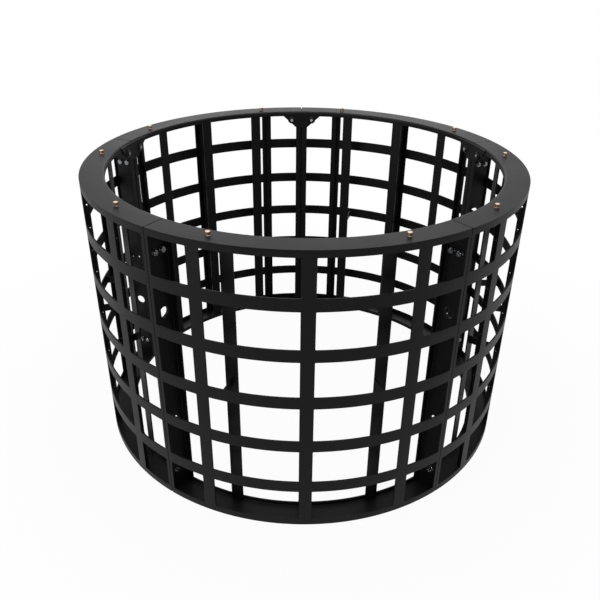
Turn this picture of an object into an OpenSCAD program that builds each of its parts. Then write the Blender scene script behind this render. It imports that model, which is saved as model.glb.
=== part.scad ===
// Round firewood log rack in black sheet steel.
// Five equal curved panels stand in a ring and are bolted together at upright seams.
// Millimetres, +Z up. The origin is on the floor, on the axis of the ring.
// Panel 1 faces -Y and the others follow it anticlockwise, seen from above.

/* [Overall] */
// Outside diameter of the ring
outer_d = 940; // [800:10:1200]
// Height from the floor to the top face
rack_h = 600; // [450:10:750]
// Number of equal panels in the ring
panel_count = 5; // [3:1:5]
// Gap that shows between the sheets of neighbouring panels
seam_gap = 1; // [0.4:0.2:2]

/* [Sheet] */
// Thickness of the sheet that every part is cut from
sheet_t = 3; // [2:0.5:4]
// Radius inside each fold
bend_r = 1.5; // [1:0.5:3]
// Width of the flat top and base rings
ring_w = 50; // [44:1:65]
// Height of the lip along the inner edge of each ring
lip_h = 12; // [8:1:16]

/* [Lattice] */
// Width of the upright and level bars of the lattice
bar_w = 25; // [15:1:35]
// Upright bars in one panel
bars_per_panel = 3; // [2:1:4]
// Rows of windows from bottom to top
window_rows = 6; // [4:1:8]
// Height of the solid band along the top and bottom
band_h = 14; // [10:1:18]
// Width of the strip along each upright edge of a panel
edge_strip_w = 7.5; // [5:0.5:12]

/* [Ribs] */
// Depth of the rib behind each upright lattice bar
rib_depth = 10; // [7:0.5:14]
// Diameter of the row of holes in a rib
rib_hole_d = 5; // [3:0.5:6]
// Holes in a rib for each row of windows
rib_holes_per_row = 2; // [1:1:3]

/* [End channels] */
// Width of the lip folded along the inner edge of an end channel
channel_lip_w = 15; // [10:1:18]
// Gap between that lip and the lips of the rings
channel_gap = 0.5; // [0.2:0.1:1]
// Distance between the two holes of a bolting pair
pair_spacing = 18; // [16:0.5:20]
// Height of the lowest pair above the floor, and of the highest below the top
pair_inset = 52; // [45:1:80]
// Diameter of the spare pair of holes at mid height
spare_hole_d = 7; // [5:0.5:9]
// Diameter of the two large round holes
large_hole_d = 22; // [16:1:26]
// Distance between the two large holes
large_hole_spacing = 250; // [150:10:260]

/* [Posts] */
// Width of the flat bar of an inner post
post_w = 25; // [18:1:32]
// Angle between neighbouring posts of a panel
post_pitch_angle = 18.9; // [14:0.1:24]

/* [Splice plates] */
// Length of the top edge of a splice plate
splice_top_l = 118; // [100:1:140]
// Length of the bottom edge of a splice plate
splice_bottom_l = 30; // [20:1:40]
// Height of a splice plate
splice_h = 39; // [34:1:46]
// Drop from the top of the rack to the top edge of a splice plate
splice_drop = 3; // [1:0.5:6]
// Drop from the top of the rack to the axis of the splice screws
screw_drop = 22; // [20:0.5:24]
// Radius of the rounded ear that hangs from the top ring behind each screw
ear_r = 10; // [9:0.5:12]
// Gap between an ear and the lip of the end channel
ear_gap = 2; // [1:0.5:4]

/* [Seam bolts] */
// Thread diameter of the seam bolts
bolt_d = 6; // [4:1:8]
// Length of a seam bolt under its head
bolt_l = 16; // [14:1:20]
// Diameter of the flange on the bolt head and on its nut
bolt_flange_d = 14; // [12:0.5:15]
// Thickness of that flange
bolt_flange_t = 1.5; // [1:0.1:2]
// Width across the flats of the bolt head and nut
bolt_hex = 10; // [8:0.5:11]
// Height of the bolt head
bolt_head_h = 6.6; // [5:0.1:8]
// Height of the nut
bolt_nut_h = 6; // [5:0.1:7]
// How much wider a bolt hole is than its bolt
hole_clearance = 0.6; // [0.2:0.1:1]

/* [Splice screws] */
// Thread diameter of the splice screws
screw_d = 8; // [5:1:9]
// Length of a splice screw under its head
screw_l = 16; // [15:1:20]
// Diameter of the flange on the screw head
screw_flange_d = 17.5; // [15:0.5:19]
// Thickness of that flange
screw_flange_t = 1.2; // [0.8:0.1:1.6]
// Diameter of the domed button of the screw head
button_d = 14; // [11:0.5:15]
// Height of the screw head
button_h = 4.4; // [3.5:0.1:5.5]
// Width across the flats of the key socket
key_hex = 5; // [4:0.5:6]
// Depth of the key socket
key_depth = 2.6; // [1.5:0.1:3]
// Width across the flats of the splice nut
screw_nut_hex = 13; // [11:0.5:14]
// Height of the splice nut
screw_nut_h = 8; // [6:0.5:8.5]

/* [Studs] */
// Diameter of the weld studs on the top ring
stud_d = 9; // [5:1:12]
// Height of a stud above the top ring
stud_h = 7.5; // [5:0.5:25]
// Diameter of the welding foot of a stud
stud_foot_d = 10; // [9:0.5:14]
// Thickness of that foot
stud_foot_t = 1; // [0.8:0.1:2]
// Chamfer round the tip of a stud
stud_chamfer = 0.6; // [0.4:0.1:1.5]
// Distance from the outer edge of the top ring to the stud axes
stud_inset = 25; // [18:0.5:32]
// Angle from a seam to the stud on each side of it
stud_angle = 14.3; // [10:0.1:20]

/* [Hidden] */
$fn = 180;
cut = 1;                                    // how far a cutting tool passes through a face
outer_r = outer_d / 2;
lattice_r = outer_r - sheet_t;              // inner face of the lattice
inner_r = outer_r - ring_w;                 // inner edge of both rings
lip_r = inner_r + sheet_t;                  // outer face of the ring lips
under_top = rack_h - sheet_t;               // underside of the top ring
channel_z0 = lip_h + channel_gap;
channel_z1 = rack_h - lip_h - channel_gap;

panel_span = 360 / panel_count;
sheet_edge = panel_span / 2 - arc_angle(seam_gap / 2, outer_r);
bar_span = panel_span / bars_per_panel;
bar_angles = [for (i = [0:bars_per_panel - 1]) (i - (bars_per_panel - 1) / 2) * bar_span];
bar_half_angle = arc_angle(bar_w / 2, outer_r);
strip_edge = panel_span / 2 - arc_angle(edge_strip_w, outer_r);
column_edges = concat(
    [-strip_edge],
    [for (a = bar_angles) each [a - bar_half_angle, a + bar_half_angle]],
    [strip_edge]);

row_pitch = rack_h / window_rows;
level_bars = [for (i = [1:window_rows - 1]) i * row_pitch];
row_edges = concat(
    [band_h],
    [for (z = level_bars) each [z - bar_w / 2, z + bar_w / 2]],
    [rack_h - band_h]);

mid_ring_r = outer_r - ring_w / 2;          // middle of the ring width
pair_radii = [mid_ring_r - pair_spacing / 2, mid_ring_r + pair_spacing / 2];
bolt_heights = [pair_inset, rack_h - pair_inset];
large_hole_heights = [for (side = [-1, 1]) rack_h / 2 + side * large_hole_spacing / 2];

spacer_z = floor(window_rows / 2) * row_pitch;      // the level bar nearest mid height
post_angles = [for (i = [-1:1]) i * post_pitch_angle];
tab_r = lip_r + sheet_t;                    // outer face of a post, where its spacer starts

splice_z1 = rack_h - splice_drop;
splice_z0 = splice_z1 - splice_h;
screw_z = rack_h - screw_drop;
screw_angle = arc_angle(channel_lip_w + ear_gap + ear_r, inner_r);

PANELS = [1:panel_count];
SIDES = ["left", "centre", "right"];

// Angle that an arc of the given length covers at radius r
function arc_angle(length, r) = length / r * 180 / PI;

// Distance from the axis at which a flat face of the given half width fits inside radius r
function flat_seat(r, half_w) = sqrt(r * r - half_w * half_w);

// Diameter over the corners of a hexagon, from the width across its flats
function hex_corners(across_flats) = across_flats / cos(30);

// Places its children in the frame of panel k, which has +X through the panel's middle
module at_panel(k) {
    rotate([0, 0, 270 + (k - 1) * panel_span]) children();
}

// Places its children in the frame of the seam after panel k, which has +X through the seam
module at_seam(k) {
    rotate([0, 0, 270 + (k - 0.5) * panel_span]) children();
}

// Turns a piece that is drawn along +Z so that it points away from the axis, along +X
module outward(x, z) {
    translate([x, 0, z]) rotate([0, 90, 0]) children();
}

// Turns a piece that is drawn along +Z so that it points across the seam, along -Y
module across(x, y, z) {
    translate([x, y, z]) rotate([90, 0, 0]) children();
}

// A piece of ring: radius from r0 to r1, height from z0 to z1, angle from a0 to a1
module ring_piece(r0, r1, z0, z1, a0, a1) {
    rotate([0, 0, a0])
        rotate_extrude(angle = a1 - a0)
            translate([r0, z0]) square([r1 - r0, z1 - z0]);
}

// Laser-cut and rolled sheet: upright and level bars with rows of windows between them
module lattice_panel(k) {
    color("#1d1d1e") at_panel(k) rotate([0, 0, -sheet_edge]) difference() {
        rotate_extrude(angle = 2 * sheet_edge)
            translate([lattice_r, 0]) square([sheet_t, under_top]);
        for (i = [0:bars_per_panel], j = [0:window_rows - 1])
            rotate([0, 0, sheet_edge + column_edges[2 * i]])
                rotate_extrude(angle = column_edges[2 * i + 1] - column_edges[2 * i])
                    translate([lattice_r - cut, row_edges[2 * j]])
                        square([sheet_t + 2 * cut, row_edges[2 * j + 1] - row_edges[2 * j]]);
    }
}

// Flat ring with a lip turned down along its inner edge, and a screw ear by each seam
module top_ring(k) {
    ear_z0 = screw_z - ear_r;
    color("#38383a") at_panel(k) difference() {
        rotate([0, 0, -sheet_edge]) rotate_extrude(angle = 2 * sheet_edge) {
            translate([inner_r, under_top]) square([ring_w, sheet_t]);
            translate([inner_r, ear_z0]) square([sheet_t, rack_h - ear_z0]);
        }
        // the lip is deep only at the ears
        difference() {
            ring_piece(inner_r - cut, lip_r + cut, ear_z0 - cut, rack_h - lip_h,
                -panel_span / 2, panel_span / 2);
            for (side = [-1, 1]) rotate([0, 0, side * (panel_span / 2 - screw_angle)]) ear_outline();
        }
        for (side = [-1, 1]) rotate([0, 0, side * (panel_span / 2 - screw_angle)])
            outward(inner_r - cut, screw_z) cylinder(h = sheet_t + 2 * cut, d = screw_d + hole_clearance);
    }
}

// Prism of an ear's outline, a tab with a round end, longer than the lip is thick
module ear_outline() {
    depth = sheet_t + 4 * cut;
    outward(inner_r - 2 * cut, screw_z) cylinder(h = depth, r = ear_r);
    translate([inner_r - 2 * cut, -ear_r, screw_z]) cube([depth, 2 * ear_r, screw_drop]);
}

// Flat ring on the floor, inside the lattice, with a lip turned up along its inner edge
module base_ring(k) {
    color("#2a2a2b") at_panel(k) {
        ring_piece(inner_r, lattice_r, 0, sheet_t, -sheet_edge, sheet_edge);
        ring_piece(inner_r, lip_r, 0, lip_h, -sheet_edge, sheet_edge);
    }
}

// Section of the folded plate: web on the -Y side of the seam, lip along the inner edge
module channel_section(web_edge) {
    fold_r = bend_r + sheet_t;
    difference() {
        union() {
            translate([inner_r, -sheet_t]) square([web_edge - inner_r, sheet_t]);
            translate([inner_r, -channel_lip_w]) square([sheet_t, channel_lip_w]);
            translate([inner_r, -fold_r]) square(fold_r);
        }
        difference() {
            translate([inner_r - cut, -fold_r]) square(fold_r + cut);
            translate([inner_r + fold_r, -fold_r]) circle(fold_r);
        }
        translate([inner_r + fold_r, -fold_r]) circle(bend_r);
    }
}

// Upright plate that closes the end of a panel, folded along its inner edge and pierced
module end_channel() {
    web_edge = flat_seat(lattice_r, sheet_t);
    difference() {
        union() {
            translate([0, 0, channel_z0])
                linear_extrude(channel_z1 - channel_z0) channel_section(web_edge);
            translate([lip_r, -sheet_t, sheet_t])
                cube([web_edge - lip_r, sheet_t, under_top - sheet_t]);
        }
        for (r = pair_radii, z = bolt_heights) web_hole(r, z, bolt_d + hole_clearance);
        for (r = pair_radii) web_hole(r, rack_h / 2, spare_hole_d);
        for (z = large_hole_heights) web_hole(mid_ring_r, z, large_hole_d);
    }
}

// Cutter for a round hole through the web of an end channel
module web_hole(r, z, d) {
    across(r, cut, z) cylinder(h = sheet_t + 2 * cut, d = d);
}

module end_channel_right(k) {
    color("#232324") at_seam(k) end_channel();
}

module end_channel_left(k) {
    color("#232324") at_seam(k - 1) mirror([0, 1, 0]) end_channel();
}

// Flat bar from the base ring to the top ring, against the outside of both lips
module post(k, angle) {
    color("#19191a") at_panel(k) rotate([0, 0, angle])
        translate([lip_r, -post_w / 2, sheet_t]) cube([sheet_t, post_w, under_top - sheet_t]);
}

// The three spacers of a panel, plates on edge between the posts and the lattice. The first
// two stand on the middle of their posts, the second one in line with the rib that it meets,
// and the third is flush with the near edge of its post.
module post_spacers(k) {
    flush = -post_w / 2 + sheet_t / 2;
    color("#19191a") at_panel(k) {
        rotate([0, 0, post_angles[0]]) spacer(0, flat_seat(lattice_r, sheet_t / 2));
        rotate([0, 0, post_angles[1]]) spacer(0, rib_r());
        rotate([0, 0, post_angles[2]]) spacer(flush, flat_seat(lattice_r, post_w / 2));
    }
}

// Plate on edge, as high as a level bar, from the posts out to radius far_r
module spacer(aside, far_r) {
    translate([tab_r, aside - sheet_t / 2, spacer_z - bar_w / 2])
        cube([far_r - tab_r, sheet_t, bar_w]);
}

// Radius of the inner edge of a rib
function rib_r() = flat_seat(lattice_r, sheet_t / 2) - rib_depth;

// Strips on edge behind the upright bars of the lattice, with a row of holes in each
module bar_ribs() {
    hole_pitch = row_pitch / rib_holes_per_row;
    hole_count = window_rows * rib_holes_per_row - 1;
    color("#1d1d1e") for (k = PANELS, angle = bar_angles) at_panel(k) rotate([0, 0, angle]) difference() {
        translate([rib_r(), -sheet_t / 2, sheet_t]) cube([rib_depth, sheet_t, under_top - sheet_t]);
        for (i = [1:hole_count]) across(rib_r() + rib_depth / 2, sheet_t, i * hole_pitch)
            cylinder(h = 2 * sheet_t, d = rib_hole_d);
    }
}

// Wing-shaped curved plate inside a seam, behind the lips of two top rings
module splice_plate(k) {
    half_angle = arc_angle(splice_top_l, inner_r);
    color("#1d1d1e") at_seam(k) difference() {
        intersection() {
            ring_piece(inner_r - sheet_t, inner_r, splice_z0, splice_z1, -half_angle, half_angle);
            translate([inner_r - ring_w / 2, 0, 0]) rotate([90, 0, 90])
                linear_extrude(ring_w) polygon([
                    [-splice_top_l / 2, splice_z1],
                    [-splice_bottom_l / 2, splice_z0],
                    [splice_bottom_l / 2, splice_z0],
                    [splice_top_l / 2, splice_z1]]);
        }
        for (side = [-1, 1]) rotate([0, 0, side * screw_angle])
            outward(inner_r - sheet_t - cut, screw_z)
                cylinder(h = sheet_t + 2 * cut, d = screw_d + hole_clearance);
    }
}

// Flanged hexagon, drawn up from its seat
module flanged_hex(flange_d, flange_t, hex, h) {
    cylinder(h = flange_t, d = flange_d);
    cylinder(h = h, d = hex_corners(hex), $fn = 6);
}

// Two bolts at each end of every seam, their heads on the +Y side of the joined webs
module seam_bolts() {
    color("#b9bcc0") for (k = PANELS, r = pair_radii, z = bolt_heights) at_seam(k) {
        across(r, sheet_t, z) {
            cylinder(h = bolt_l, d = bolt_d);
            mirror([0, 0, 1]) flanged_hex(bolt_flange_d, bolt_flange_t, bolt_hex, bolt_head_h);
        }
    }
}

module seam_nuts() {
    color("#b9bcc0") for (k = PANELS, r = pair_radii, z = bolt_heights) at_seam(k) {
        across(r, -sheet_t, z) difference() {
            flanged_hex(bolt_flange_d, bolt_flange_t, bolt_hex, bolt_nut_h);
            translate([0, 0, -cut]) cylinder(h = bolt_nut_h + 2 * cut, d = bolt_d);
        }
    }
}

// Places its children at both screws of every splice plate, along the screw axis
module at_splice_screws(x) {
    for (k = PANELS, side = [-1, 1]) at_seam(k) rotate([0, 0, side * screw_angle])
        outward(x, screw_z) children();
}

// Button-head screws with a flange, put in from inside the rack
module splice_screws() {
    dome_h = button_h - screw_flange_t;
    dome_r = (pow(button_d / 2, 2) + dome_h * dome_h) / (2 * dome_h);
    color("#2c2c2e") at_splice_screws(flat_seat(inner_r - sheet_t, screw_flange_d / 2)) {
        cylinder(h = screw_l, d = screw_d);
        mirror([0, 0, 1]) difference() {
            union() {
                cylinder(h = screw_flange_t, d = screw_flange_d);
                rotate_extrude() intersection() {
                    translate([0, button_h - dome_r]) circle(dome_r);
                    square([button_d / 2, button_h]);
                }
            }
            translate([0, 0, button_h - key_depth])
                cylinder(h = key_depth + cut, d = hex_corners(key_hex), $fn = 6);
        }
    }
}

module splice_nuts() {
    color("#2c2c2e") at_splice_screws(lip_r) difference() {
        flanged_hex(screw_flange_d, screw_flange_t, screw_nut_hex, screw_nut_h);
        translate([0, 0, -cut]) cylinder(h = screw_nut_h + 2 * cut, d = screw_d);
    }
}

// Short weld studs on the top ring, one on each side of every seam
module top_studs() {
    color("#a5714d") for (k = PANELS, side = [-1, 1]) at_seam(k) rotate([0, 0, side * stud_angle])
        translate([outer_r - stud_inset, 0, rack_h]) {
            cylinder(h = stud_foot_t, d = stud_foot_d);
            cylinder(h = stud_h - stud_chamfer, d = stud_d);
            translate([0, 0, stud_h - stud_chamfer])
                cylinder(h = stud_chamfer, d1 = stud_d, d2 = stud_d - 2 * stud_chamfer);
        }
}

for (k = PANELS) {
    lattice_panel(k);
    top_ring(k);
    base_ring(k);
    end_channel_left(k);
    end_channel_right(k);
    post(k, post_angles[0]);
    post(k, post_angles[1]);
    post(k, post_angles[2]);
    post_spacers(k);
    splice_plate(k);
}
bar_ribs();
seam_bolts();
seam_nuts();
splice_screws();
splice_nuts();
top_studs();
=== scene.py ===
# Round firewood log rack in black powder-coated sheet steel, dressed over its CAD solids.
import math
import bmesh
import bpy
from mathutils import Matrix, Vector


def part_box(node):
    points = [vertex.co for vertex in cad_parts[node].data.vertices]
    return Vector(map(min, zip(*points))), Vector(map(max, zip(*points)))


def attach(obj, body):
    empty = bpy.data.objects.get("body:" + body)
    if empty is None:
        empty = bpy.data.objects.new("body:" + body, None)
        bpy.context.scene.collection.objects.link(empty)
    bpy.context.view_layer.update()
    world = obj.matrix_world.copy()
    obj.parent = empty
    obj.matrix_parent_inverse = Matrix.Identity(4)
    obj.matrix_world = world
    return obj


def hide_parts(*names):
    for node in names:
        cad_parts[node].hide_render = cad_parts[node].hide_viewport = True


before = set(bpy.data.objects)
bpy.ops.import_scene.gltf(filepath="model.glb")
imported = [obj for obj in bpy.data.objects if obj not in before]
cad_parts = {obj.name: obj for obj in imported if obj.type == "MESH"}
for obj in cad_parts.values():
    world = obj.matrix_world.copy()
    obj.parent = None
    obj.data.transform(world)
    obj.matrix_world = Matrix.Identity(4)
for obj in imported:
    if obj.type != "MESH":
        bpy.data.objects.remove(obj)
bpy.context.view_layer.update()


# ---- Outer lattice --------------------------------------------------------------------
# Five panels of 3 mm mild steel sheet, laser cut into windows with small corner radii and
# then rolled to the curve of the ring. Grit blasting softens the cut edges, and each panel
# is welded to its rings and end channels before the whole weldment is powder coated.
mm = 0.001
same_place = 1e-6                               # metres, points closer than this are one
sheet_t = 3 * mm
outer_r = -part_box("lattice_panel_1")[0].y
under_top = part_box("lattice_panel_1")[1].z
rack_h = under_top + sheet_t
panels = range(1, 6)
panel_degrees, first_panel_at = 72, 270
half_arc = math.radians(panel_degrees / 2) * outer_r        # half a panel, round the curve
seam_gap = 1 * mm
edge_strip_w, bar_w, band_h = 7.5 * mm, 25 * mm, 14 * mm
cut_radius = 1.5 * mm                           # corner radius that the laser leaves
edge_radius = 0.4 * mm                          # what blasting takes off a cut edge
cut_edge = 1                                    # radians, faces that meet at more are cut
bar_degrees = (-24, 0, 24)
window_rows = 6


def turn_to(k):
    return Matrix.Rotation(math.radians(first_panel_at + panel_degrees * (k - 1)), 4, "Z")


panel_turn = {k: turn_to(k) for k in panels}


def flat_blank(y0, y1, z0, z1):
    blank = bmesh.new()
    corners = ((y0, z0), (y1, z0), (y1, z1), (y0, z1))
    blank.faces.new([blank.verts.new((0, y, z)) for y, z in corners])
    return blank


def cut_along(blank, point, normal, clear_outer=False):
    bmesh.ops.bisect_plane(blank, geom=blank.verts[:] + blank.edges[:] + blank.faces[:],
                           dist=1e-7, plane_co=point, plane_no=normal,
                           clear_outer=clear_outer)


def give_thickness(blank, thickness, corner_radius, sharp_above=math.inf):
    grown = bmesh.ops.extrude_face_region(blank, geom=blank.faces[:], use_keep_orig=True)
    moved = [g for g in grown["geom"] if isinstance(g, bmesh.types.BMVert)]
    bmesh.ops.translate(blank, verts=moved, vec=(-thickness, 0, 0))
    bmesh.ops.recalc_face_normals(blank, faces=blank.faces[:])
    through = [e for e in blank.edges if e.calc_face_angle(0) > cut_edge
               and abs(e.verts[0].co.x - e.verts[1].co.x) > thickness / 2]
    bmesh.ops.bevel(blank, geom=through, affect="EDGES", offset=corner_radius, segments=5,
                    profile=0.5, material=-1, clamp_overlap=True)
    rims = [e for e in blank.edges if e.calc_face_angle(0) > cut_edge
            and min(v.co.z for v in e.verts) < sharp_above]
    bmesh.ops.bevel(blank, geom=rims, affect="EDGES", offset=edge_radius, segments=2,
                    profile=0.5, material=-1, clamp_overlap=True)


def roll_to(blank, radius, pitch=9 * mm):
    reach = int(max(abs(v.co.y) for v in blank.verts) / pitch)
    for i in range(-reach, reach + 1):
        cut_along(blank, (0, i * pitch, 0), (0, 1, 0))
    for v in blank.verts:
        r, a = radius + v.co.x, v.co.y / radius
        v.co.x, v.co.y = r * math.cos(a), r * math.sin(a)


def finish_piece(name, shape, material, slot, *nodes, sharp=40):
    mesh = bpy.data.meshes.new(name)
    for face in shape.faces:
        face.smooth = True
    shape.to_mesh(mesh)
    shape.free()
    mesh.set_sharp_from_angle(angle=math.radians(sharp))
    mesh.materials.append(material)
    piece = bpy.data.objects.new(name, mesh)
    bpy.context.scene.collection.objects.link(piece)
    piece.modifiers.new("even shading", "WEIGHTED_NORMAL").keep_sharp = True
    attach(piece, "root")
    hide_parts(*nodes)
    return piece


def to_linear(hex_colour):
    parts = [int(hex_colour[i:i + 2], 16) / 255 for i in (1, 3, 5)]
    return [c / 12.92 if c <= 0.04045 else ((c + 0.055) / 1.055) ** 2.4
            for c in parts] + [1]


def socket_of(node, key):
    return node.inputs[int(key[1:]) if key in ("i0", "i1", "i2") else key]


def add_node(tree, kind, settings=(), **links):
    node = tree.nodes.new(kind)
    for key, value in dict(settings).items():
        if hasattr(node, key):
            setattr(node, key, value)
        else:
            socket_of(node, key).default_value = value
    for key, source in links.items():
        tree.links.new(source, socket_of(node, key))
    return node


def open_finish(name):
    finish = bpy.data.materials.new(name)
    finish.use_nodes = True
    tree = finish.node_tree
    place = add_node(tree, "ShaderNodeTexCoord").outputs["Object"]
    return finish, tree, tree.nodes["Principled BSDF"], place


def lay_on(tree, shader, tint, shine, skin=None):
    tree.links.new(tint.outputs["Color"], shader.inputs["Base Color"])
    tree.links.new(shine.outputs["Result"], shader.inputs["Roughness"])
    if skin:
        tree.links.new(skin.outputs["Normal"], shader.inputs["Normal"])


# Polyester powder coat on blasted steel, fine texture: a satin black whose skin is pebbled
# by the flow of the powder, so highlights spread wide and dark faces stay nearly black.
powder_coat, tree, shader, place = open_finish("black powder coat, fine texture")
# pebbles on a coat of this kind are about 0.5 mm across, drawn 1.2 mm so that they show
pebbles = add_node(tree, "ShaderNodeTexNoise", {"Scale": 1 / (1.2 * mm), "Detail": 3.0},
                   Vector=place)
# slow waves in the film, a hand's width apart, change how it shines
film = add_node(tree, "ShaderNodeTexNoise", {"Scale": 1 / (90 * mm), "Detail": 4.0},
                Vector=place)
shine = add_node(tree, "ShaderNodeMapRange", {"To Min": 0.40, "To Max": 0.52},
                 Value=film.outputs["Fac"])
tint = add_node(tree, "ShaderNodeValToRGB", Fac=pebbles.outputs["Fac"])
tint.color_ramp.elements[0].position = 0.3
tint.color_ramp.elements[0].color = to_linear("#070708")
tint.color_ramp.elements[1].position = 0.75
tint.color_ramp.elements[1].color = to_linear("#101012")
skin = add_node(tree, "ShaderNodeBump", {"Strength": 0.25, "Distance": 0.1 * mm},
                Height=pebbles.outputs["Fac"])
lay_on(tree, shader, tint, shine, skin)
shader.inputs["Specular IOR Level"].default_value = 0.12

upright_bars = [math.radians(a) * outer_r for a in bar_degrees]
level_bars = [rack_h * i / window_rows for i in range(1, window_rows)]


def bar_sides(bars):
    return [bar + side * bar_w / 2 for bar in bars for side in (-1, 1)]


column_edges = [-half_arc + edge_strip_w, *bar_sides(upright_bars), half_arc - edge_strip_w]
row_edges = [band_h, *bar_sides(level_bars), rack_h - band_h]
lattice = flat_blank(-half_arc + seam_gap / 2, half_arc - seam_gap / 2, 0, under_top)
for y in column_edges:
    cut_along(lattice, (0, y, 0), (0, 1, 0))
for z in row_edges:
    cut_along(lattice, (0, 0, z), (0, 0, 1))
windows = [f for f in lattice.faces
           if sum(y < f.calc_center_median().y for y in column_edges) % 2
           and sum(z < f.calc_center_median().z for z in row_edges) % 2]
bmesh.ops.delete(lattice, geom=windows, context="FACES")
give_thickness(lattice, sheet_t, cut_radius)
roll_to(lattice, outer_r)
for k in panels:
    rolled = lattice.copy()
    rolled.transform(panel_turn[k])
    finish_piece(f"lattice_sheet_{k}", rolled, powder_coat, "black_powder_coat",
                 f"lattice_panel_{k}")
lattice.free()


# ---- Base rings -----------------------------------------------------------------------
# Each panel stands on a flat ring of 3 mm sheet inside the foot of the lattice, welded to
# it all along, with a lip folded up along its inner edge.
ring_w, lip_h = 50 * mm, 12 * mm
inner_r = outer_r - ring_w
lip_r = inner_r + sheet_t
fold_in, fold_out = 1.5 * mm, 4.5 * mm          # radii inside and outside a fold
ring_steps = 66


def spun_ring(outline, rounds, gap=seam_gap):
    ring = bmesh.new()
    section = ring.faces.new([ring.verts.new((r, 0, z)) for r, z in outline])
    corners = list(section.verts)
    for corner, radius in zip(corners, rounds):
        bmesh.ops.bevel(ring, geom=[corner], affect="VERTICES", offset=radius,
                        segments=5 if radius > 1 * mm else 2, profile=0.5, material=-1)
    bmesh.ops.delete(ring, geom=ring.faces[:], context="FACES_ONLY")
    half = (half_arc - gap / 2) / outer_r
    bmesh.ops.rotate(ring, verts=ring.verts[:], matrix=Matrix.Rotation(-half, 3, "Z"))
    bmesh.ops.spin(ring, geom=ring.verts[:] + ring.edges[:], axis=(0, 0, 1), angle=2 * half,
                   steps=ring_steps, use_merge=False)
    bmesh.ops.holes_fill(ring, edges=[e for e in ring.edges if e.is_boundary], sides=0)
    bmesh.ops.recalc_face_normals(ring, faces=ring.faces[:])
    return ring


lattice_r = outer_r - sheet_t
base = spun_ring([(inner_r, 0), (lattice_r, 0), (lattice_r, sheet_t), (lip_r, sheet_t),
                  (lip_r, lip_h), (inner_r, lip_h)],
                 [fold_out, edge_radius, edge_radius, fold_in, edge_radius, edge_radius])
for k in panels:
    ring = base.copy()
    ring.transform(panel_turn[k])
    finish_piece(f"base_sheet_{k}", ring, powder_coat, "black_powder_coat",
                 f"base_ring_{k}")
base.free()


# ---- Ribs, end channels, posts and spacers --------------------------------------------
# Stiffening parts of the same 3 mm sheet: pierced ribs on edge behind the upright bars,
# folded channels that close the ends of a panel, flat bars that keep the logs off the
# lattice and short plates on edge behind them. All are welded in and coated together.
def merged(node):
    shape = bmesh.new()
    shape.from_mesh(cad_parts[node].data)
    bmesh.ops.remove_doubles(shape, verts=shape.verts[:], dist=0.01 * mm)
    bmesh.ops.dissolve_limit(shape, angle_limit=math.radians(0.5), verts=shape.verts[:],
                             edges=shape.edges[:], delimit=set())
    return shape


def ease(shape):
    edges = [e for e in shape.edges if e.calc_face_angle(0) > math.radians(40)]
    bmesh.ops.bevel(shape, geom=edges, affect="EDGES", offset=0.35 * mm, segments=2,
                    profile=0.5, material=-1, clamp_overlap=True)
    return shape


rib_depth, rib_end = 10 * mm, 10 * mm
hole_pitch, hole_drop = 50 * mm, 3 * mm
solid_hole_d, window_hole_d, bar_hole_d = 5 * mm, 4 * mm, 2.5 * mm
solid_spacer_h, spacer_h, centre_rise = 25 * mm, 16 * mm, 8 * mm

stiffeners = {}
for k in panels:
    stiffeners[f"end_channel_left_{k}"] = f"left_channel_{k}"
    stiffeners[f"end_channel_right_{k}"] = f"right_channel_{k}"
    for side in ("left", "centre", "right"):
        stiffeners[f"post_{side}_{k}"] = f"{side}_post_bar_{k}"
for node, name in stiffeners.items():
    finish_piece(name, ease(merged(node)), powder_coat, "black_powder_coat", node)

# a rib has a 4 mm hole 3 mm below the middle of each window and a 2.5 mm one by each bar
rib_middle = outer_r - sheet_t - rib_depth / 2
ribs = merged("bar_ribs")
for v in ribs.verts:
    if rib_end < v.co.z < rack_h - rib_end:
        hole = round(v.co.z / hole_pitch)
        size = (window_hole_d if hole % 2 else bar_hole_d) / solid_hole_d
        r = math.hypot(v.co.x, v.co.y)
        narrowed = (rib_middle + (r - rib_middle) * size) / r
        hole_z = hole * hole_pitch
        v.co = (v.co.x * narrowed, v.co.y * narrowed,
                hole_z - hole_drop + (v.co.z - hole_z) * size)
finish_piece("rib_strips", ease(ribs), powder_coat, "black_powder_coat", "bar_ribs")

# spacers are 16 mm high, the outer two of a panel on the middle of the level bar and the
# one by the rib 8 mm higher, clear of the rib's hole
for k in panels:
    spacers = merged(f"post_spacers_{k}")
    ahead = panel_turn[k] @ Vector((1, 0, 0))
    for v in spacers.verts:
        aside = Vector((v.co.x, v.co.y)).angle(ahead.to_2d())
        middle = rack_h / 2 + (centre_rise if aside < math.radians(9) else 0)
        v.co.z = middle + (v.co.z - rack_h / 2) * spacer_h / solid_spacer_h
    finish_piece(f"spacer_strips_{k}", ease(spacers), powder_coat, "black_powder_coat",
                 f"post_spacers_{k}")


# ---- Top rings ------------------------------------------------------------------------
# The flat flange round the top: 3 mm sheet with a lip folded down along the inner edge, and
# a round-ended ear at each end of the lip for the screw of a splice plate.
screw_drop, screw_aside = 22 * mm, 27 * mm
flange_gap = 2 * mm                             # what shows between neighbouring flanges
ear_r = 10 * mm
screw_z = rack_h - screw_drop
screw_angle = screw_aside / inner_r
fold_end = rack_h - fold_out
flange = spun_ring([(inner_r, fold_end), (inner_r, rack_h), (outer_r, rack_h),
                    (outer_r, under_top), (lip_r, under_top), (lip_r, fold_end)],
                   [0, fold_out, edge_radius, edge_radius, fold_in, 0], gap=flange_gap)
lip_arc = (half_arc / outer_r) * lip_r
lip = flat_blank(-lip_arc + seam_gap / 2, lip_arc - seam_gap / 2, screw_z - ear_r, fold_end)
ear_middle = lip_arc - screw_angle * lip_r
for y in (-ear_middle - ear_r, -ear_middle + ear_r, ear_middle - ear_r, ear_middle + ear_r):
    cut_along(lip, (0, y, 0), (0, 1, 0))
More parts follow.
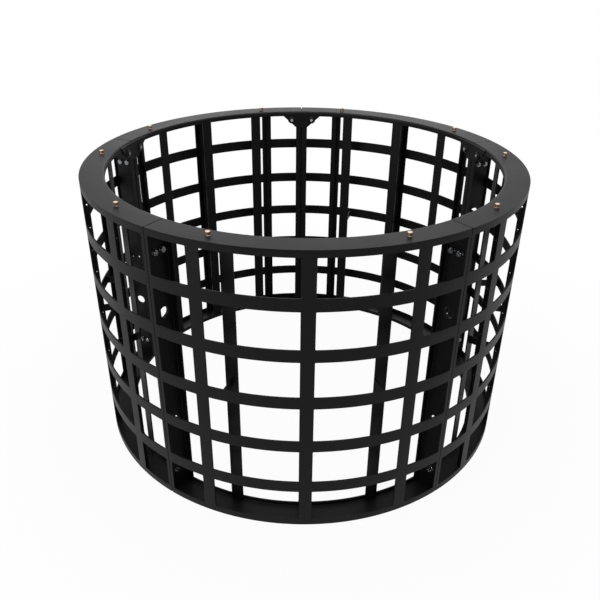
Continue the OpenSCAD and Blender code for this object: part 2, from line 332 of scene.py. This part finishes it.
cut_along(lip, (0, 0, rack_h - lip_h), (0, 0, 1))
spare = [f for f in lip.faces if f.calc_center_median().z < rack_h - lip_h
         and abs(abs(f.calc_center_median().y) - ear_middle) > ear_r]
bmesh.ops.delete(lip, geom=spare, context="FACES")
tips = [v for v in lip.verts if v.co.z < screw_z - ear_r + same_place]
bmesh.ops.bevel(lip, geom=tips, affect="VERTICES", offset=ear_r * 0.99, segments=12,
                profile=0.5, material=-1)
give_thickness(lip, sheet_t, 1 * mm, sharp_above=fold_end - same_place)
roll_to(lip, lip_r)
lip_mesh = bpy.data.meshes.new("lip")
lip.to_mesh(lip_mesh)
flange.from_mesh(lip_mesh)
for k in panels:
    ring = flange.copy()
    ring.transform(panel_turn[k])
    finish_piece(f"top_flange_{k}", ring, powder_coat, "black_powder_coat", f"top_ring_{k}")
flange.free()
lip.free()


# ---- Splice plates --------------------------------------------------------------------
# Wing-shaped plates of the same rolled sheet, loose parts coated on their own, that bridge
# each seam inside the lips of the top rings.
wing_half, foot_half = 59 * mm, 15 * mm
wing_top, wing_foot = 597 * mm, 558 * mm
wing_corner_r = 2 * mm
seam_turn = {k: turn_to(k + 0.5) for k in panels}
splice = bmesh.new()
wing = ((-wing_half, wing_top), (-foot_half, wing_foot), (foot_half, wing_foot),
        (wing_half, wing_top))
splice.faces.new([splice.verts.new((0, y, z)) for y, z in wing])
give_thickness(splice, sheet_t, wing_corner_r)
roll_to(splice, inner_r)
for k in panels:
    plate = splice.copy()
    plate.transform(seam_turn[k])
    finish_piece(f"wing_plate_{k}", plate, powder_coat, "black_powder_coat",
                 f"splice_plate_{k}")
splice.free()


# ---- Seam bolts and nuts --------------------------------------------------------------
# M6 x 16 hexagon bolts and nuts with a washer face join the webs of neighbouring panels,
# two at the foot and two at the head of each seam. Cold-forged steel, rolled threads, zinc.
def turned(outline, steps=48):
    part = bmesh.new()
    points = [part.verts.new((r, 0, z)) for r, z in outline]
    for a, b in zip(points, points[1:]):
        part.edges.new((a, b))
    bmesh.ops.spin(part, geom=part.verts[:] + part.edges[:], axis=(0, 0, 1),
                   angle=math.tau, steps=steps, use_merge=True)
    bmesh.ops.remove_doubles(part, verts=part.verts[:], dist=same_place)
    bmesh.ops.recalc_face_normals(part, faces=part.faces[:])
    return part


def threaded(part, diameter, pitch, z0, z1, steps=24):
    """Adds a rod along Z with a rolled thread, its tip chamfered at z1."""
    depth = 0.6 * pitch
    crest, root = diameter / 2, diameter / 2 - depth
    rod = bmesh.new()
    points = [rod.verts.new((r, 0, z0 - pitch + z)) for r, z in (
        (root, 0), (root, 0.12 * pitch), (crest, 0.44 * pitch), (crest, 0.56 * pitch),
        (root, 0.88 * pitch), (root, pitch))]
    for a, b in zip(points, points[1:]):
        rod.edges.new((a, b))
    turns = math.ceil((z1 - z0) / pitch) + 2
    bmesh.ops.spin(rod, geom=rod.verts[:] + rod.edges[:], axis=(0, 0, 1),
                   angle=math.tau * turns, steps=steps * turns, use_merge=False,
                   dvec=(0, 0, pitch / steps))
    bmesh.ops.remove_doubles(rod, verts=rod.verts[:], dist=same_place)
    for z, way in ((z0, -1), (z1, 1)):
        cut_along(rod, (0, 0, z), (0, 0, way), clear_outer=True)
        end = [e for e in rod.edges if e.is_boundary
               and all(abs(v.co.z - z) < same_place for v in e.verts)]
        bmesh.ops.holes_fill(rod, edges=end, sides=0)
    for v in rod.verts:
        r = math.hypot(v.co.x, v.co.y)
        most = crest - max(0, v.co.z - (z1 - depth))
        if r > most:
            v.co.x, v.co.y = v.co.x * most / r, v.co.y * most / r
    bmesh.ops.recalc_face_normals(rod, faces=rod.faces[:])
    join(part, rod)


def join(part, other):
    mesh = bpy.data.meshes.new("part")
    other.to_mesh(mesh)
    other.free()
    part.from_mesh(mesh)
    bpy.data.meshes.remove(mesh)


def hexagon_on(part, across_flats, z0, z1, bore=0):
    """Adds a hexagon bar along Z, its upper corners turned off at 30 degrees."""
    corner = across_flats / 2 / math.cos(math.radians(30))
    ring = across_flats / 2 * 0.96              # radius of the flat that is left on top
    drop = (corner - ring) * math.tan(math.radians(30))
    outline = [(bore, z0), (corner, z0), (corner, z1 - drop), (ring, z1), (bore, z1)]
    if bore:
        outline.append((bore, z0))
    bar = turned(outline)
    for i in range(6):
        flat = Vector((math.cos(math.pi / 3 * i), math.sin(math.pi / 3 * i), 0))
        cut_along(bar, flat * across_flats / 2, flat, clear_outer=True)
        bmesh.ops.holes_fill(bar, edges=[e for e in bar.edges if e.is_boundary], sides=0)
    bmesh.ops.recalc_face_normals(bar, faces=bar.faces[:])
    join(part, bar)


def set_out(name, part, places, material, slot, node):
    mesh = bpy.data.meshes.new(name)
    part.to_mesh(mesh)
    part.free()
    group = bmesh.new()
    for place_of_one in places:
        one = mesh.copy()
        one.transform(place_of_one)
        group.from_mesh(one)
        bpy.data.meshes.remove(one)
    return finish_piece(name, group, material, slot, node, sharp=30)


# Bright zinc plate, clear passivated: a bluish white metal with faint cloudy patches.
zinc, tree, shader, place = open_finish("bright zinc plate")
clouds = add_node(tree, "ShaderNodeTexNoise", {"Scale": 1 / (3 * mm), "Detail": 5.0},
                  Vector=place)
tint = add_node(tree, "ShaderNodeValToRGB", Fac=clouds.outputs["Fac"])
tint.color_ramp.elements[0].position = 0.35
tint.color_ramp.elements[0].color = to_linear("#55565a")
tint.color_ramp.elements[1].position = 0.7
tint.color_ramp.elements[1].color = to_linear("#97989b")
shine = add_node(tree, "ShaderNodeMapRange", {"To Min": 0.12, "To Max": 0.3},
                 Value=clouds.outputs["Fac"])
lay_on(tree, shader, tint, shine)
shader.inputs["Metallic"].default_value = 1.0

bolt_d, bolt_pitch, bolt_l = 6 * mm, 1 * mm, 16 * mm
bolt_flats, bolt_head_h, bolt_nut_h = 10 * mm, 5.2 * mm, 6 * mm
bolt_bore = 3.02 * mm                           # radius, a hair clear of the bolt
washer_r, neck_r = 5.5 * mm, 4.9 * mm
hexagon_z = 1 * mm
pair_half, pair_inset = 9 * mm, 52 * mm
mid_ring_r = outer_r - ring_w / 2
bolt_rows = [(r, z) for r in (mid_ring_r - pair_half, mid_ring_r + pair_half)
             for z in (pair_inset, rack_h - pair_inset)]
head_side = Matrix.Rotation(math.radians(-90), 4, "X")      # +Z of the part to +Y
nut_side = Matrix.Rotation(math.radians(90), 4, "X")        # +Z of the part to -Y
washer_face = [(washer_r, 0), (washer_r, 0.6 * mm), (neck_r, 1 * mm), (neck_r, 1.5 * mm)]
bolt = turned([(0, 0), *washer_face, (0, 1.5 * mm)])
hexagon_on(bolt, bolt_flats, hexagon_z, bolt_head_h)
shank = bmesh.new()
threaded(shank, bolt_d, bolt_pitch, 0, bolt_l, steps=20)
shank.transform(Matrix.Rotation(math.pi, 4, "X"))
join(bolt, shank)
set_out("zinc_bolts", bolt, [seam_turn[k] @ Matrix.Translation((r, sheet_t, z)) @ head_side
                             for k in panels for r, z in bolt_rows],
        zinc, "zinc_fasteners", "seam_bolts")
nut = turned([(bolt_bore, 0), *washer_face, (bolt_bore, 1.5 * mm), (bolt_bore, 0)])
hexagon_on(nut, bolt_flats, hexagon_z, bolt_nut_h, bore=bolt_bore)
set_out("zinc_nuts", nut, [seam_turn[k] @ Matrix.Translation((r, -sheet_t, z)) @ nut_side
                           for k in panels for r, z in bolt_rows],
        zinc, "zinc_fasteners", "seam_nuts")


# ---- Splice screws and nuts -----------------------------------------------------------
# M8 x 16 flanged button-head screws with a hexagon key socket, put in from inside the
# rack, and flanged nuts behind the ears. Alloy steel, black oxide finish.

# Black oxide over bright alloy steel, lightly oiled: a near-black metal that shines in
# soft patches where the oil lies thicker.
black_oxide, tree, shader, place = open_finish("black oxide on steel")
oil = add_node(tree, "ShaderNodeTexNoise", {"Scale": 1 / (4 * mm), "Detail": 4.0},
               Vector=place)
tint = add_node(tree, "ShaderNodeValToRGB", Fac=oil.outputs["Fac"])
tint.color_ramp.elements[0].color = to_linear("#121214")
tint.color_ramp.elements[1].color = to_linear("#28282b")
shine = add_node(tree, "ShaderNodeMapRange", {"To Min": 0.28, "To Max": 0.45},
                 Value=oil.outputs["Fac"])
lay_on(tree, shader, tint, shine)
shader.inputs["Metallic"].default_value = 1.0

inward = Matrix.Rotation(math.radians(-90), 4, "Y")         # +Z of the part to -X
outward = Matrix.Rotation(math.radians(90), 4, "Y")         # +Z of the part to +X
screw_d, screw_pitch, screw_l = 8 * mm, 1.25 * mm, 16 * mm
screw_nut_flats, screw_nut_h = 13 * mm, 8 * mm
screw_bore = 4.02 * mm                          # radius, a hair clear of the screw
flange_r = 8.75 * mm
key_flats, key_depth, button_h = 5 * mm, 2.6 * mm, 4.4 * mm
dome_steps = 8
seat_in = math.sqrt((inner_r - sheet_t) ** 2 - flange_r ** 2)
dome_h, dome_w = 3.2 * mm, 7 * mm
dome_r = (dome_w ** 2 + dome_h ** 2) / (2 * dome_h)
socket_r = key_flats / 2 / math.cos(math.radians(30))
lip_of_socket = 3.3 * mm
start = math.asin(lip_of_socket / dome_r)
end = math.asin(dome_w / dome_r)
turns = [start + (end - start) * i / dome_steps for i in range(dome_steps + 1)]
arc = [(dome_r * math.sin(a), button_h - dome_r + dome_r * math.cos(a)) for a in turns]
screw = turned(arc + [(8.4 * mm, 1.15 * mm), (flange_r, 0.8 * mm), (flange_r, 0), (0, 0)])
rim = [e for e in screw.edges if e.is_boundary]
key = bmesh.ops.create_circle(screw, cap_ends=False, segments=6, radius=socket_r)
bmesh.ops.translate(screw, verts=key["verts"], vec=(0, 0, arc[0][1]))
sides = list(dict.fromkeys(e for v in key["verts"] for e in v.link_edges))
bmesh.ops.subdivide_edges(screw, edges=sides, cuts=7)
sides = [e for e in screw.edges if e.is_wire]
bmesh.ops.bridge_loops(screw, edges=rim + sides)
sides = [e for e in screw.edges if e.is_boundary]
walls = bmesh.ops.extrude_edge_only(screw, edges=sides)
deep = [g for g in walls["geom"] if isinstance(g, bmesh.types.BMVert)]
bmesh.ops.translate(screw, verts=deep, vec=(0, 0, -key_depth))
bmesh.ops.holes_fill(screw, edges=[e for e in screw.edges if e.is_boundary], sides=0)
bmesh.ops.recalc_face_normals(screw, faces=screw.faces[:])
# the faces round the edge of the socket take a pale metal, a painted highlight
for face in screw.faces:
    middle = face.calc_center_median()
    by_socket = math.hypot(middle.x, middle.y) < lip_of_socket
    face.material_index = int(by_socket and middle.z > 1 * mm)
shank = bmesh.new()
threaded(shank, screw_d, screw_pitch, 0, screw_l)
shank.transform(Matrix.Rotation(math.pi, 4, "X"))
join(screw, shank)
at_screws = [seam_turn[k] @ Matrix.Rotation(side * screw_angle, 4, "Z")
             for k in panels for side in (-1, 1)]
seat = Matrix.Translation((seat_in, 0, screw_z))
screws = set_out("key_screws", screw, [m @ seat @ inward for m in at_screws],
                 black_oxide, "black_fasteners", "splice_screws")

# A pale grey metal, uneven in tone, on the faces round the socket: a painted highlight for
# the glint on the top of the head.
socket_highlight, tree, shader, place = open_finish("pale steel, painted highlight by the socket")
glint_speckle = add_node(tree, "ShaderNodeTexNoise", {"Scale": 1 / (0.8 * mm), "Detail": 3.0},
                Vector=place)
tint = add_node(tree, "ShaderNodeValToRGB", Fac=glint_speckle.outputs["Fac"])
tint.color_ramp.elements[0].color = to_linear("#a9a9aa")
tint.color_ramp.elements[1].color = to_linear("#d6d6d7")
shine = add_node(tree, "ShaderNodeMapRange", {"To Min": 0.25, "To Max": 0.5},
                 Value=glint_speckle.outputs["Fac"])
lay_on(tree, shader, tint, shine)
shader.inputs["Metallic"].default_value = 1.0
# the pale metal of the painted highlight goes on the faces round the socket
screws.data.materials.append(socket_highlight)
nut = turned([(screw_bore, 0), (flange_r, 0), (flange_r, 0.7 * mm), (8.2 * mm, 1.2 * mm),
              (6.8 * mm, 1.6 * mm), (screw_bore, 1.6 * mm), (screw_bore, 0)])
hexagon_on(nut, screw_nut_flats, 1.2 * mm, screw_nut_h, bore=screw_bore)
set_out("black_nuts", nut, [m @ Matrix.Translation((lip_r, 0, screw_z)) @ outward
                            for m in at_screws],
        black_oxide, "black_fasteners", "splice_nuts")


# ---- Studs ----------------------------------------------------------------------------
# Short pins, 9 mm across, welded to the flange on both sides of each seam. Mild steel with
# a thin flash of copper, as weld studs have.
stud_r, foot_r = 4.5 * mm, 5 * mm
stud_inset, stud_angle = 25 * mm, math.radians(14.3)
stud_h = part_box("top_studs")[1].z - rack_h

# Copper flash that has tarnished: brown round the side in uneven patches, with a painted
# highlight on the flat tip, which is drawn pale.
copper, tree, shader, place = open_finish("copper flash on steel, tarnished")
tarnish = add_node(tree, "ShaderNodeTexNoise", {"Scale": 1 / (2.5 * mm), "Detail": 5.0},
                   Vector=place)
browned = add_node(tree, "ShaderNodeValToRGB", Fac=tarnish.outputs["Fac"])
browned.color_ramp.elements[0].position = 0.35
browned.color_ramp.elements[0].color = to_linear("#6a5245")
browned.color_ramp.elements[1].position = 0.68
browned.color_ramp.elements[1].color = to_linear("#a78e7c")
height = add_node(tree, "ShaderNodeSeparateXYZ", Vector=place)
# painted highlight: the flat tip of each stud is drawn pale, as the light above catches it
tip = add_node(tree, "ShaderNodeMapRange", {"From Min": rack_h + stud_h - 0.5 * mm,
                                            "From Max": rack_h + stud_h - 0.05 * mm},
               Value=height.outputs["Z"])
tint = add_node(tree, "ShaderNodeMixRGB", Fac=tip.outputs["Result"],
                Color1=browned.outputs["Color"])
# the pale colour of the painted highlight on the tip
tint.inputs["Color2"].default_value = to_linear("#c4ab98")
# rings left by turning are some 0.1 mm apart, drawn 0.8 mm so that they show
rings = add_node(tree, "ShaderNodeMath", {"operation": "SINE"}, i0=add_node(
    tree, "ShaderNodeMath", {"operation": "MULTIPLY", "i1": math.tau / (0.8 * mm)},
    i0=height.outputs["Z"]).outputs[0])
skin = add_node(tree, "ShaderNodeBump", {"Strength": 0.3, "Distance": 0.05 * mm},
                Height=rings.outputs[0])
shine = add_node(tree, "ShaderNodeMapRange", {"To Min": 0.3, "To Max": 0.5},
                 Value=tarnish.outputs["Fac"])
lay_on(tree, shader, tint, shine, skin)
shader.inputs["Metallic"].default_value = 1.0

stud = turned([(0, 0), (4.9 * mm, 0), (foot_r, 0.15 * mm), (foot_r, 0.7 * mm),
               (4.7 * mm, 1 * mm), (stud_r, 1.15 * mm), (stud_r, stud_h - 0.6 * mm),
               (4.35 * mm, stud_h - 0.25 * mm), (3.95 * mm, stud_h), (0, stud_h)])
set_out("copper_studs", stud,
        [seam_turn[k] @ Matrix.Rotation(side * stud_angle, 4, "Z")
         @ Matrix.Translation((outer_r - stud_inset, 0, rack_h))
         for k in panels for side in (-1, 1)],
        copper, "copper_studs", "top_studs")


# ---- Studio ---------------------------------------------------------------------------
# A pale floor and a white surround, seen white by the eye and by mirrors. The light is a
# large soft box overhead, a weak low one behind, a third from the left, and a dim room.
def seen_white(tree):
    rays = add_node(tree, "ShaderNodeLightPath")
    mirrored = add_node(tree, "ShaderNodeMath", {"operation": "MAXIMUM"},
                        i0=rays.outputs["Is Glossy Ray"],
                        i1=rays.outputs["Is Transmission Ray"])
    seen = add_node(tree, "ShaderNodeMath", {"operation": "MAXIMUM"},
                    i0=rays.outputs["Is Camera Ray"], i1=mirrored.outputs[0])
    return rays, seen


world = bpy.data.worlds.new("white room")
bpy.context.scene.world = world
world.use_nodes = True
tree = world.node_tree
tree.nodes.clear()
seen = seen_white(tree)[1]
level = add_node(tree, "ShaderNodeMapRange", {"To Min": 0.2, "To Max": 1.0},
                 Value=seen.outputs[0])
white = add_node(tree, "ShaderNodeBackground", {"Color": (1, 1, 1, 1)},
                 Strength=level.outputs["Result"])
add_node(tree, "ShaderNodeOutputWorld", Surface=white.outputs[0])

pale = bpy.data.materials.new("pale floor")
pale.use_nodes = True
tree = pale.node_tree
tree.nodes.clear()
rays, seen = seen_white(tree)
away = add_node(tree, "ShaderNodeVectorMath", {"operation": "LENGTH"}, Vector=add_node(
    tree, "ShaderNodeTexCoord").outputs["Object"])
# close to the rack the floor keeps its shadow, and further out it fades into the white
fade = add_node(tree, "ShaderNodeMapRange", {"From Min": 0.5, "From Max": 1.2,
                                             "To Min": 0.95, "To Max": 1.0},
                Value=away.outputs["Value"])
share = add_node(tree, "ShaderNodeMath", {"operation": "MULTIPLY"},
                 i0=seen.outputs[0], i1=fade.outputs["Result"])
# a stage device: mirrors see the floor inside the rack drawn darker than it is lit
shade = add_node(tree, "ShaderNodeMapRange", {"From Min": 0.40, "From Max": 0.48,
                                              "To Min": 0.2, "To Max": 1.0},
                 Value=away.outputs["Value"])
strength = add_node(tree, "ShaderNodeMath", {"operation": "MAXIMUM"},
                    i0=rays.outputs["Is Camera Ray"], i1=shade.outputs["Result"])
matt = add_node(tree, "ShaderNodeBsdfDiffuse", {"Color": to_linear("#c8c8c8")})
glow = add_node(tree, "ShaderNodeEmission", {"Color": (1, 1, 1, 1)},
                Strength=strength.outputs[0])
both = add_node(tree, "ShaderNodeMixShader", Fac=share.outputs[0], i1=matt.outputs[0],
                i2=glow.outputs[0])
add_node(tree, "ShaderNodeOutputMaterial", Surface=both.outputs[0])
ground = bmesh.new()
bmesh.ops.create_circle(ground, cap_ends=True, segments=96, radius=8)
floor_mesh = bpy.data.meshes.new("floor")
ground.to_mesh(floor_mesh)
ground.free()
floor_mesh.materials.append(pale)
floor = bpy.data.objects.new("floor", floor_mesh)
bpy.context.scene.collection.objects.link(floor)


def soft_box(name, at, aim, width, height, power):
    lamp = bpy.data.lights.new(name, "AREA")
    lamp.shape = "RECTANGLE"
    lamp.size, lamp.size_y, lamp.energy = width, height, power
    box = bpy.data.objects.new(name, lamp)
    box.location = at
    box.rotation_euler = (Vector(aim) - Vector(at)).to_track_quat("-Z", "Y").to_euler()
    bpy.context.scene.collection.objects.link(box)


soft_box("overhead box", (0, -0.2, 3.1), (0, 0, 0.3), 2.4, 2.0, 70)
soft_box("back box", (0, 3.0, 1.7), (0, 0, 0.6), 2.6, 1.8, 13)
soft_box("left box", (-2.6, -2.0, 1.2), (0, 0, 0.5), 1.5, 1.2, 45)

tilt, roll, round_by = math.radians(29.12), math.radians(0.629), math.radians(-1)
stands_at = (-0.00635, -1.42175, 1.04138)
eye = bpy.data.cameras.new("camera")
eye.lens, eye.sensor_width = 40.36, 36
camera = bpy.data.objects.new("camera", eye)
camera.matrix_world = (
    Matrix.Rotation(round_by, 4, "Z") @ Matrix.Translation(stands_at)
    @ Matrix.Rotation(math.pi / 2 - tilt, 4, "X") @ Matrix.Rotation(roll, 4, "Z"))
bpy.context.scene.collection.objects.link(camera)
bpy.context.scene.camera = camera
bpy.context.scene.view_settings.view_transform = "Standard"
